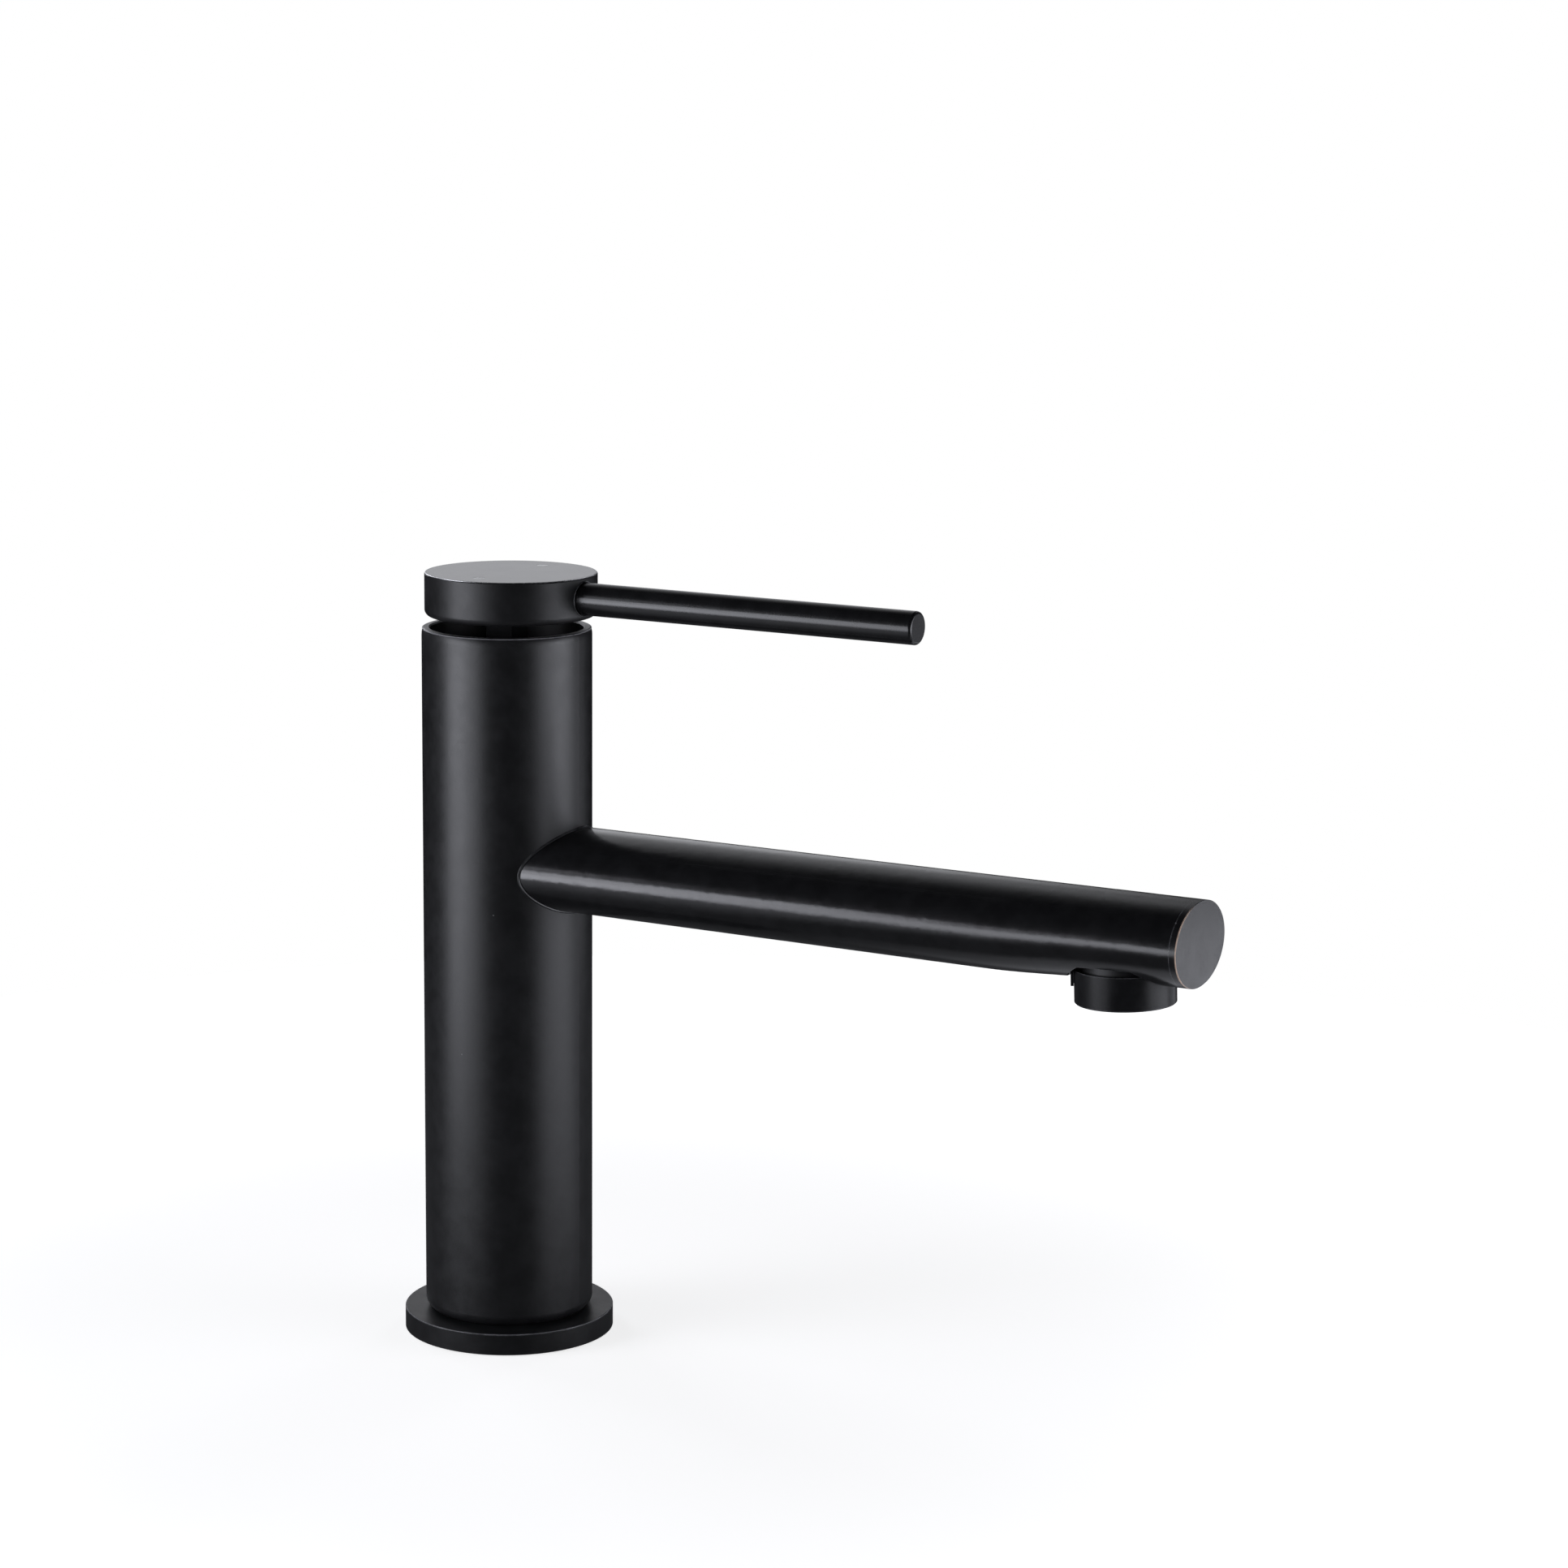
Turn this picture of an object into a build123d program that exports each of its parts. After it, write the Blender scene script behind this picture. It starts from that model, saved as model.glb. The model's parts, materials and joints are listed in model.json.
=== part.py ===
"""Single-lever basin mixer with a slim round body, a horizontal spout and a pin lever.

The origin is the centre of the deck face, +Z runs up the body and +X along the spout.
Lengths are in millimetres.
"""
import os
from math import cos, radians, sin

from build123d import *

# ---- Fits and clearances ----
running_gap = 0.05
seat_gap = 0.1
thread_gap = 0.05
travel_gap = 0.2
overrun = 1.0
pick_reach = 0.01

# ---- Base ----
flange_overhang = 5.0
flange_height = 5.1
flange_edge = 0.25
spigot_step = 3.0
gasket_cover = 1.6
gasket_width = 3.4
gasket_thickness = 1.6
oring_section_r = 0.75
oring_squeeze = 0.05

# ---- Body ----
body_r = 20.0
body_wall = 2.0
chamber_step = 0.5
mouth_depth = 9.0
body_foot_round = 2.5
shoulder_drop = 1.9
shoulder_set = 0.6
mouth_edge = 0.35

# ---- Water ways ----
inlet_x = 4.5
inlet_r = 2.2
gallery_wall = 0.6
outlet_port_x = -5.0
outlet_port_r = 3.6
gallery_r = 4.2
hose_socket_x = 4.0
hose_socket_y = 8.0
hose_socket_r = 4.5
hose_socket_depth = 14.0
stud_x = -9.0
stud_hole_r = 3.4
stud_hole_depth = 22.0

# ---- Spout ----
spout_socket = 8.0
spout_tip_x = 177.5
spout_root_half_width = 15.2
spout_tip_half_width = 13.3
spout_bottom = 104.25
spout_root_height = 19.5
spout_rise = 0.65
underside_droop = 0.475
underside_lift = 1.5
underside_lift_length = 36.5
underside_lift_past = 5.0
underside_steps = 5
spout_wall = 1.6
end_plate_thickness = 1.6
end_plate_lip = 2.2
tip_edge = 0.1

# ---- Outlet and aerator ----
outlet_setback = 17.55
outlet_tilt = 2.4
outlet_rise = 5.05
pocket_room = 1.6
rim_gap = 1.7
saddle_thickness = 1.6
saddle_ledge = 2.4
collar_wall = 2.3
ring_r = 11.2
ring_length = 7.6
ring_edge = 0.25
ring_wall = 1.35
ring_lip = 3.2
ring_lip_height = 0.9
washer_thickness = 0.6
insert_flange_height = 1.0
insert_body_height = 4.6
screen_height = 0.7
screen_border = 2.2
screen_hole_r = 0.7
screen_rings = 3
lip_thickness = 0.62
lip_cover = 3.7
lip_from_angle = 140.0
lip_to_angle = 212.0

# ---- Cartridge ----
chamber_floor_wall = 2.25
base_plate_height = 4.0
base_cup_height = 4.0
base_cup_floor = 2.0
peg_r = 1.3
peg_length = 2.5
peg_x = -11.5
peg_y = 5.5
seal_width = 1.4
seal_height = 1.2
disc_height = 3.5
disc_surround = 1.9
disc_step = 1.8
mixing_pocket_r = 6.8
mixing_pocket_depth = 1.8
mixing_pocket_x = -3.2
carrier_height = 4.6
carrier_wall = 1.2
housing_wall = 1.9
housing_lid = 3.55
housing_neck = 6.0
turret_neck_wall = 2.3
turret_flange_height = 4.6
turret_rise = 1.0
rail_width = 2.0
rail_height = 1.4
rail_setback = 4.3
pivot_rise = 1.6
pivot_pin_r = 2.0
stem_width = 7.0
stem_hub_r = 4.6
stem_arm_r = 2.0
stem_ball_r = 2.6
stem_ball_clearance = 0.4
lift_angle = 25.0

# ---- Nut and dust ring ----
nut_height = 9.0
nut_wall = 3.55
nut_slot_width = 4.0
nut_slot_depth = 2.5
nut_slots = 4
dust_ring_height = 3.2
dust_ring_wall = 1.2
dust_ring_cover = 1.4

# ---- Handle ----
cap_overhang = 0.25
cap_height = 10.2
cap_gap = 2.8
cap_offset = 1.2
cap_wall = 1.6
cap_lid = 2.0
cap_top_edge = 0.45
cap_bottom_round = 1.5
boss_r = 7.4
boss_gap = 0.6
stem_socket_lid = 1.0
lever_r = 3.8
lever_rise = 0.15
lever_tip_x = 108.2
lever_tip_round = 0.7
lever_sink = 3.0
lever_thread_r = 2.5
lever_thread_length = 4.0
lever_rim_gap = 0.25
lever_rim_depth = 0.6
grub_length = 3.2
grub_key_r = 1.2
grub_key_depth = 1.6
dot_r = 1.4
dot_depth = 0.8
dot_inset = 6.75

# ---- Radii that follow ----
flange_r = body_r + flange_overhang
spigot_r = body_r - spigot_step
gasket_outer_r = flange_r - gasket_cover
gasket_inner_r = gasket_outer_r - gasket_width
thread_r = body_r - body_wall
nut_r = thread_r - thread_gap
nut_bore_r = nut_r - nut_wall
dust_ring_bore_r = nut_bore_r - dust_ring_cover
chamber_r = thread_r - chamber_step
cartridge_r = chamber_r - seat_gap
housing_bore_r = cartridge_r - housing_wall
fixed_disc_r = housing_bore_r - disc_surround
moving_disc_r = fixed_disc_r - disc_step
turret_neck_r = nut_bore_r - turret_neck_wall
rail_y = moving_disc_r - rail_setback
inlet_y = gallery_r + gallery_wall + inlet_r
cap_r = body_r + cap_overhang
dot_spacing = cap_r - dot_inset
pocket_r = ring_r + pocket_room
collar_r = ring_r - ring_wall - thread_gap
collar_bore_r = collar_r - collar_wall
saddle_bore_r = collar_bore_r - saddle_ledge
ring_lip_r = ring_r - ring_lip
screen_pitch = (ring_lip_r - screen_border) / screen_rings

# ---- Places that follow ----
spout_root_x = body_r - spout_socket
spout_root_top = spout_bottom + spout_root_height
spout_tip_top = spout_root_top + spout_rise
outlet_x = spout_tip_x - outlet_setback
outlet_height = spout_bottom + outlet_rise
insert_seat = ring_lip_height - ring_length - rim_gap
insert_flange_top = insert_seat + insert_flange_height
collar_length = -insert_flange_top - washer_thickness
lip_drop = rim_gap + lip_cover
underside_lift_end = outlet_x + underside_lift_past
underside_lift_start = underside_lift_end - underside_lift_length
cartridge_floor = spout_root_top + chamber_floor_wall
fixed_disc_bottom = cartridge_floor + base_plate_height + base_cup_floor
moving_disc_bottom = fixed_disc_bottom + disc_height
carrier_bottom = moving_disc_bottom + disc_height
carrier_top = carrier_bottom + carrier_height
turret_bottom = carrier_top + travel_gap
turret_flange_top = turret_bottom + turret_flange_height
lid_bottom = turret_flange_top + running_gap
housing_shoulder = lid_bottom + housing_lid
housing_top = housing_shoulder + housing_neck
nut_top = housing_shoulder + nut_height
body_top = nut_top + mouth_depth
cap_bottom = body_top + cap_gap
cap_top = cap_bottom + cap_height
lever_height = (cap_bottom + cap_top) / 2 + lever_rise
boss_end = cap_bottom + boss_gap
pivot_height = turret_flange_top + pivot_rise
ball_height = carrier_bottom + stem_ball_r + stem_ball_clearance
stem_arm = pivot_height - ball_height
disc_travel = stem_arm * sin(radians(lift_angle))
disc_rest_x = -disc_travel / 2
stem_top = cap_top - cap_lid - stem_socket_lid
right_angle = 90.0


def disc(radius, bottom, top, x=0.0, y=0.0):
    """An upright cylinder between two heights."""
    return Pos(x, y, bottom) * Cylinder(radius, top - bottom, align=(Align.CENTER, Align.CENTER, Align.MIN))


def ring(outer_r, inner_r, bottom, top, x=0.0, y=0.0):
    """An upright tube between two heights."""
    return disc(outer_r, bottom, top, x, y) - disc(inner_r, bottom - overrun, top + overrun, x, y)


def block(x_range, y_range, z_range):
    """A box given by its limits along each axis."""
    size = [high - low for low, high in (x_range, y_range, z_range)]
    centre = [(low + high) / 2 for low, high in (x_range, y_range, z_range)]
    return Pos(*centre) * Box(*size)


def rod(radius, start_x, end_x, height, y=0.0):
    """A cylinder along X."""
    along_x = Cylinder(radius, end_x - start_x, rotation=(0, right_angle, 0))
    return Pos((start_x + end_x) / 2, y, height) * along_x


def edges_at(shape, axis, place):
    """The edges of a shape that lie wholly at one place along an axis."""
    return shape.edges().filter_by_position(axis, place - pick_reach, place + pick_reach)


# ---- Spout sections ----
def smooth_step(value, start, end):
    share = min(max((value - start) / (end - start), 0.0), 1.0)
    return share * share * (3 - 2 * share)


def spout_section(x, inset=0.0):
    """The oval section of the spout at a distance from the body's axis."""
    share = (x - spout_root_x) / (spout_tip_x - spout_root_x)
    half_width = spout_root_half_width + (spout_tip_half_width - spout_root_half_width) * share
    top = spout_root_top + (spout_tip_top - spout_root_top) * share
    lift = underside_lift * smooth_step(x, underside_lift_start, underside_lift_end)
    bottom = spout_bottom - underside_droop * share + lift
    plane = Plane(origin=(x, 0, (top + bottom) / 2), x_dir=(0, 1, 0), z_dir=(1, 0, 0))
    return plane * Ellipse(half_width - inset, (top - bottom) / 2 - inset)


def spout_solid(start_x, end_x, inset=0.0):
    """The solid oval bar between two distances, straight first and then lifted underneath."""
    if end_x <= underside_lift_start:
        return loft([spout_section(start_x, inset), spout_section(end_x, inset)], ruled=True)
    straight = loft(
        [spout_section(start_x, inset), spout_section(underside_lift_start, inset)], ruled=True
    )
    lift_step = (underside_lift_end - underside_lift_start) / underside_steps
    lifted_x = [underside_lift_start + lift_step * step for step in range(underside_steps + 1)]
    lifted = loft([spout_section(x, inset) for x in lifted_x if x < end_x] + [spout_section(end_x, inset)])
    return straight + lifted


def at_outlet(shape):
    """Places a shape, drawn about the outlet's rim, under the spout."""
    return Location((outlet_x, 0, outlet_height), (0, -outlet_tilt, 0)) * shape


# ---- Base ----
def base_flange():
    plate = disc(flange_r, 0, flange_height)
    plate = chamfer(edges_at(plate, Axis.Z, flange_height), flange_edge)
    plate -= disc(spigot_r + seat_gap, -overrun, flange_height + overrun)
    return plate - ring(gasket_outer_r, gasket_inner_r, -overrun, gasket_thickness)


def base_gasket():
    return ring(gasket_outer_r, gasket_inner_r, 0, gasket_thickness)


def flange_oring():
    centre_r = spigot_r + seat_gap - oring_section_r
    return Pos(0, 0, flange_height / 2) * Torus(centre_r, oring_section_r)


# ---- Body ----
def body_outline():
    """Half of the body's outline: spigot, rounded foot, straight side and soft shoulder."""
    foot_start = (body_r - body_foot_round, flange_height)
    foot_end = (body_r, flange_height + body_foot_round)
    shoulder_start = (body_r, body_top - shoulder_drop)
    shoulder_end = (body_r - shoulder_set, body_top)
    shoulder_centre = (body_r - shoulder_set, body_top - shoulder_drop)
    lines = Polyline((0, body_top), (0, 0), (spigot_r, 0), (spigot_r, flange_height), foot_start)
    foot = RadiusArc(foot_start, foot_end, -body_foot_round)
    side = Line(foot_end, shoulder_start)
    shoulder = EllipticalCenterArc(
        shoulder_centre, shoulder_set, shoulder_drop, start_angle=0, arc_size=right_angle
    )
    rim = Line(shoulder_end, (0, body_top))
    return Plane.XZ * make_face([lines, foot, side, shoulder, rim])


def water_ways():
    """The drilled galleries: hot and cold up to the cartridge, mixed water down and out."""
    spout_axis = (spout_root_top + spout_bottom) / 2
    ways = disc(outlet_port_r, spout_axis, cartridge_floor + overrun, outlet_port_x)
    ways += rod(gallery_r, outlet_port_x, spout_root_x + overrun, spout_axis)
    for side in (-1, 1):
        inlet_bottom = hose_socket_depth - overrun
        ways += disc(inlet_r, inlet_bottom, cartridge_floor + overrun, inlet_x, side * inlet_y)
        ways += disc(hose_socket_r, -overrun, hose_socket_depth, hose_socket_x, side * hose_socket_y)
    return ways


def mixer_body():
    body = revolve(body_outline(), Axis.Z)
    body -= disc(chamber_r, cartridge_floor, housing_shoulder)
    body -= disc(thread_r, housing_shoulder, body_top + overrun)
    body -= Pos(0, 0, body_top - mouth_edge) * Cone(
        thread_r, thread_r + 2 * mouth_edge, 2 * mouth_edge, align=(Align.CENTER, Align.CENTER, Align.MIN)
    )
    body -= water_ways()
    body -= disc(stud_hole_r, -overrun, stud_hole_depth, stud_x)
    for side in (-1, 1):
        peg_hole_bottom = cartridge_floor - peg_length - seat_gap
        body -= disc(peg_r + seat_gap, peg_hole_bottom, cartridge_floor + overrun, peg_x, side * peg_y)
    groove_r = spigot_r + seat_gap - 2 * oring_section_r - oring_squeeze
    groove_half = oring_section_r + oring_squeeze
    groove_centre = flange_height / 2
    body -= ring(spigot_r + overrun, groove_r, groove_centre - groove_half, groove_centre + groove_half)
    return body - spout_solid(spout_root_x, body_r + overrun, -running_gap)


# ---- Spout ----
def spout_duct():
    """The water space inside the spout, drawn past both of its ends."""
    return spout_solid(spout_root_x - overrun, spout_tip_x, spout_wall)


def spout_tube():
    outside = spout_solid(spout_root_x, spout_tip_x - end_plate_thickness)
    return outside - spout_duct() - at_outlet(disc(pocket_r, -outlet_height, 0))


def spout_end_plate():
    plate_start = spout_tip_x - end_plate_thickness
    plate = loft([spout_section(plate_start), spout_section(spout_tip_x)], ruled=True)
    plate = chamfer(edges_at(plate, Axis.X, spout_tip_x), tip_edge)
    plug = [spout_section(x, spout_wall + seat_gap) for x in (plate_start - end_plate_lip, plate_start)]
    return plate + loft(plug, ruled=True)


# ---- Outlet and aerator ----
def outlet_lip():
    """The short curved lip that hangs behind the aerator ring."""
    arc = ring(ring_r + seat_gap + lip_thickness, ring_r + seat_gap, -lip_drop, 0)
    reach = 3 * ring_r
    start = radians(lip_from_angle)
    end = radians(lip_to_angle)
    start_point = (reach * cos(start), reach * sin(start))
    end_point = (reach * cos(end), reach * sin(end))
    wedge = make_face(Polyline((0, 0), start_point, (-reach, 0), end_point, (0, 0)))
    return arc & extrude(Pos(0, 0, -lip_drop) * wedge, lip_drop)


def outlet_collar():
    saddle = at_outlet(disc(pocket_r, 0, saddle_thickness))
    saddle &= spout_duct()
    neck = ring(collar_r, collar_bore_r, -collar_length, 0)
    root = disc(collar_r, -saddle_thickness, 0)
    bore = disc(saddle_bore_r, -collar_length, 2 * saddle_thickness)
    return saddle + at_outlet(neck + root + outlet_lip()) - at_outlet(bore)


def aerator_housing():
    bottom = -rim_gap - ring_length
    shell = disc(ring_r, bottom, -rim_gap)
    shell = chamfer(edges_at(shell, Axis.Z, bottom), ring_edge)
    shell -= disc(collar_r + thread_gap, bottom + ring_lip_height, 0)
    return at_outlet(shell - disc(ring_lip_r, bottom - overrun, 0))


def aerator_insert():
    insert = disc(collar_r - seat_gap, insert_seat, insert_flange_top)
    insert += disc(collar_bore_r - travel_gap, insert_flange_top, insert_seat + insert_body_height)
    return at_outlet(insert)


def aerator_screen():
    """The round plate of jet holes that closes the outlet."""
    screen = disc(ring_lip_r - seat_gap, insert_seat - screen_height, insert_seat)
    row_step = screen_pitch * sin(radians(60))
    for row in range(-screen_rings, screen_rings + 1):
        holes_in_row = 2 * screen_rings + 1 - abs(row)
        for hole in range(holes_in_row):
            x = (hole - (holes_in_row - 1) / 2) * screen_pitch
            screen -= disc(screen_hole_r, insert_seat - overrun, insert_seat + overrun, x, row * row_step)
    return at_outlet(screen)


def aerator_washer():
    return at_outlet(ring(collar_r - seat_gap, collar_bore_r, insert_flange_top, -collar_length))


# ---- Cartridge ----
def port_places():
    """Centre and radius of each port: hot, cold and mixed."""
    return [
        (inlet_x, -inlet_y, inlet_r),
        (inlet_x, inlet_y, inlet_r),
        (outlet_port_x, 0, outlet_port_r),
    ]


def cartridge_base():
    plate_top = cartridge_floor + base_plate_height
    base = disc(cartridge_r, cartridge_floor, plate_top)
    base += disc(housing_bore_r - seat_gap, plate_top, plate_top + base_cup_height)
    base -= disc(fixed_disc_r + seat_gap, fixed_disc_bottom, plate_top + base_cup_height + overrun)
    for x, y, radius in port_places():
        base -= disc(radius, cartridge_floor - overrun, plate_top + base_cup_height, x, y)
        base -= disc(radius + seal_width, cartridge_floor - overrun, cartridge_floor + seal_height, x, y)
    for side in (-1, 1):
        base += disc(peg_r, cartridge_floor - peg_length, cartridge_floor, peg_x, side * peg_y)
    return base


def cartridge_seals():
    return Compound(
        [
            ring(radius + seal_width, radius, cartridge_floor, cartridge_floor + seal_height, x, y)
            for x, y, radius in port_places()
        ]
    )


def fixed_disc():
    plate = disc(fixed_disc_r, fixed_disc_bottom, moving_disc_bottom)
    for x, y, radius in port_places():
        plate -= disc(radius, fixed_disc_bottom - overrun, moving_disc_bottom + overrun, x, y)
    return plate


def moving_disc():
    plate = disc(moving_disc_r, moving_disc_bottom, carrier_bottom, disc_rest_x)
    pocket_top = moving_disc_bottom + mixing_pocket_depth
    return plate - disc(mixing_pocket_r, moving_disc_bottom - overrun, pocket_top, mixing_pocket_x)


def disc_carrier():
    carrier = disc(moving_disc_r, carrier_bottom, carrier_top, disc_rest_x)
    carrier -= disc(stem_ball_r + travel_gap, carrier_bottom - overrun, carrier_top + overrun)
    outer = moving_disc_r - carrier_wall
    for side in (-1, 1):
        y_range = sorted((side * rail_y - rail_width / 2, side * rail_y + rail_width / 2))
        reach = (outer**2 - (rail_y + rail_width / 2) ** 2) ** 0.5
        x_range = (disc_rest_x - reach, disc_rest_x + reach)
        carrier += block(x_range, y_range, (carrier_top, carrier_top + rail_height))
    return carrier


def cartridge_housing():
    bottom = cartridge_floor + base_plate_height
    shell = disc(cartridge_r, bottom, housing_shoulder)
    shell += disc(nut_bore_r - seat_gap, housing_shoulder, housing_top)
    shell -= disc(housing_bore_r, bottom - overrun, lid_bottom)
    return shell - disc(turret_neck_r + running_gap, lid_bottom - overrun, housing_top + overrun)


def stem_guide():
    """The turret that turns in the housing and carries the stem's pin."""
    turret = disc(housing_bore_r - travel_gap, turret_bottom, turret_flange_top)
    turret_top = housing_top + turret_rise
    turret += disc(turret_neck_r, turret_flange_top, turret_top)
    swing = radians(lift_angle)
    rear = (turret_top - pivot_height) * sin(swing) / cos(swing) + stem_width / 2 / cos(swing)
    slot_rear = -max(rear, stem_hub_r) - travel_gap
    slot_front = stem_arm * sin(swing) + stem_ball_r + travel_gap
    slot_half = stem_width / 2 + seat_gap
    slot = block(
        (slot_rear, slot_front), (-slot_half, slot_half), (turret_bottom - overrun, turret_top + overrun)
    )
    turret -= slot
    for side in (-1, 1):
        low, high = side * rail_y - rail_width / 2 - seat_gap, side * rail_y + rail_width / 2 + seat_gap
        groove = (turret_bottom - overrun, turret_bottom + rail_height)
        turret -= block((-housing_bore_r, housing_bore_r), (low, high), groove)
    return turret - pivot_bar(pivot_pin_r, 2 * housing_bore_r)


def pivot_bar(radius, length):
    return Pos(0, 0, pivot_height) * Cylinder(radius, length, rotation=(right_angle, 0, 0))


def stem_pin():
    half_length = (turret_neck_r**2 - pivot_pin_r**2) ** 0.5
    return pivot_bar(pivot_pin_r, 2 * half_length - seat_gap)


# ---- Nut and dust ring ----
def cartridge_nut():
    nut = ring(nut_r, nut_bore_r, housing_shoulder, nut_top)
    for turn in range(nut_slots // 2):
        slot = Box(4 * nut_r, nut_slot_width, 2 * nut_slot_depth)
        nut -= Pos(0, 0, nut_top) * Rot(0, 0, 45 + turn * 360 / nut_slots) * slot
    return nut


def dust_ring():
    outer_r = thread_r - seat_gap
    cover = disc(outer_r, nut_top, nut_top + dust_ring_height)
    cover = fillet(edges_at(cover, Axis.Z, nut_top + dust_ring_height), dust_ring_height / 2)
    cover -= disc(outer_r - dust_ring_wall, nut_top - overrun, nut_top + dust_ring_height - dust_ring_wall)
    return cover - disc(dust_ring_bore_r, nut_top, nut_top + dust_ring_height + overrun)


# ---- Handle ----
def lever_stem():
    half = stem_width / 2
    stem = block((-half, half), (-half, half), (pivot_height, stem_top))
    stem += pivot_bar(stem_hub_r, stem_width)
    stem += disc(stem_arm_r, ball_height, pivot_height)
    stem += Pos(0, 0, ball_height) * Sphere(stem_ball_r)
    return stem - pivot_bar(pivot_pin_r + running_gap, 2 * stem_width)


def lever_seat_x():
    """Where the rod's shoulder stops, inside the cap's wall."""
    return cap_offset + cap_r - lever_sink


def handle_cap():
    cap = disc(cap_r, cap_bottom, cap_top, cap_offset)
    cap = fillet(edges_at(cap, Axis.Z, cap_bottom), cap_bottom_round)
    cap = fillet(edges_at(cap, Axis.Z, cap_top), cap_top_edge)
    cap -= disc(cap_r - cap_wall, cap_bottom - overrun, cap_top - cap_lid, cap_offset)
    boss = disc(boss_r, boss_end, cap_top - cap_lid / 2)
    rib_half = lever_r + cap_wall
    rib = block(
        (0, cap_offset + cap_r - cap_wall / 2),
        (-rib_half, rib_half),
        (lever_height - lever_r - seat_gap, cap_top - cap_lid / 2),
    )
    cap += boss + (rib & disc(cap_r - cap_wall / 2, cap_bottom, cap_top, cap_offset))
    half = stem_width / 2 + running_gap
    cap -= block((-half, half), (-half, half), (boss_end - overrun, stem_top + running_gap))
    cap -= rod(lever_thread_r + thread_gap, 0, cap_offset + cap_r, lever_height)
    cap -= rod(lever_r + running_gap, lever_seat_x(), cap_offset + cap_r + overrun, lever_height)
    rim_start = cap_offset + cap_r - lever_rim_depth
    cap -= rod(lever_r + lever_rim_gap, rim_start, rim_start + 2 * overrun, lever_height)
    for dot in (-1, 1):
        cap -= disc(dot_r, cap_top - dot_depth, cap_top + overrun, cap_offset, dot * dot_spacing)
    return cap


def lever_rod():
    bar = rod(lever_r, lever_seat_x(), lever_tip_x, lever_height)
    bar = fillet(edges_at(bar, Axis.X, lever_tip_x), lever_tip_round)
    return bar + rod(lever_thread_r, lever_seat_x() - lever_thread_length, lever_seat_x(), lever_height)


def grub_screw():
    start = stem_width / 2
    screw = rod(lever_thread_r, start, start + grub_length, lever_height)
    key_start = start + grub_length - grub_key_depth
    key = RegularPolygon(grub_key_r, 6)
    return screw - extrude(Plane.YZ.offset(key_start) * Pos(0, lever_height) * key, 2 * grub_key_depth)


def colour_dot(side):
    return disc(dot_r, cap_top - dot_depth, cap_top, cap_offset, side * dot_spacing)


def hot_dot():
    return colour_dot(-1)


def cold_dot():
    return colour_dot(1)


PIECES = [
    base_flange,
    base_gasket,
    flange_oring,
    mixer_body,
    spout_tube,
    spout_end_plate,
    outlet_collar,
    aerator_housing,
    aerator_insert,
    aerator_screen,
    aerator_washer,
    cartridge_base,
    cartridge_seals,
    fixed_disc,
    moving_disc,
    disc_carrier,
    cartridge_housing,
    stem_guide,
    stem_pin,
    cartridge_nut,
    dust_ring,
    lever_stem,
    handle_cap,
    lever_rod,
    grub_screw,
    hot_dot,
    cold_dot,
]

os.makedirs("parts", exist_ok=True)
for piece in PIECES:
    export_step(piece(), f"parts/{piece.__name__}.step")
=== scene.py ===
import json
import math

import bpy
from mathutils import Euler, Matrix, Vector


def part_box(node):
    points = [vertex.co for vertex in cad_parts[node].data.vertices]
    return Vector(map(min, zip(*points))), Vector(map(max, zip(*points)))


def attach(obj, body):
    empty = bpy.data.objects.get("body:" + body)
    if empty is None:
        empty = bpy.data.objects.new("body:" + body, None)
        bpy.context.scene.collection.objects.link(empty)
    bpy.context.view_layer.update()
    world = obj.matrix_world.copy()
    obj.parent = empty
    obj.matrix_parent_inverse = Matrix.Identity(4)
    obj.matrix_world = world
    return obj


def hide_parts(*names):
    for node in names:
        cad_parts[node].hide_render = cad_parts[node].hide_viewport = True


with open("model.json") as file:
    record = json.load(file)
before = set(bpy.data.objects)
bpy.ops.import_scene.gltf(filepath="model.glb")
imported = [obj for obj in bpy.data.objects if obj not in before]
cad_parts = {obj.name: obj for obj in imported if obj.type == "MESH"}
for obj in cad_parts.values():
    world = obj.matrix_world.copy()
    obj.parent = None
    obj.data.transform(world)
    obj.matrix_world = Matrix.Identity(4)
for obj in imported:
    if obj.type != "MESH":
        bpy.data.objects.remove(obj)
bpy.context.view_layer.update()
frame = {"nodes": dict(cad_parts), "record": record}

bl_info = {
    "name": "Pin Lever Basin Mixer",
    "version": (1, 1, 0),
    "blender": (4, 5, 0),
    "location": "View3D > Sidebar > Basin Mixer",
    "description": "Dresses the basin mixer's frame with its satin black finish and finer pieces",
    "category": "Object",
}

MM = 0.001
BODY_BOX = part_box("mixer_body")
FLANGE_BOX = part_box("base_flange")
SPOUT_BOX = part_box("spout_tube")
TIP_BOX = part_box("spout_end_plate")
CAP_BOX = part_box("handle_cap")
LEVER_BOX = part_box("lever_rod")
BODY_R = BODY_BOX[1].y
BODY_TOP = BODY_BOX[1].z
WELD = 0.001 * MM  # points nearer than this are one
ROUND_POINTS = 160  # points around a large circle


# ---- Sizes and colours that a user may change ----
def colour(name, description, default):
    """A property that holds a colour."""
    return bpy.props.FloatVectorProperty(
        name=name, description=description, subtype="COLOR", size=3, min=0, max=1, default=default)


def length(name, description, default):
    """A property that holds a length in metres."""
    return bpy.props.FloatProperty(
        name=name, description=description, subtype="DISTANCE", unit="LENGTH", min=0,
        precision=5, default=default)


def share(name, description, default):
    """A property between 0 and 1."""
    return bpy.props.FloatProperty(
        name=name, description=description, subtype="FACTOR", min=0, max=1, default=default)


def angle(name, description, degrees):
    """A property that holds an angle, whose default is given in degrees."""
    return bpy.props.FloatProperty(
        name=name, description=description, subtype="ANGLE", default=math.radians(degrees))


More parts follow.
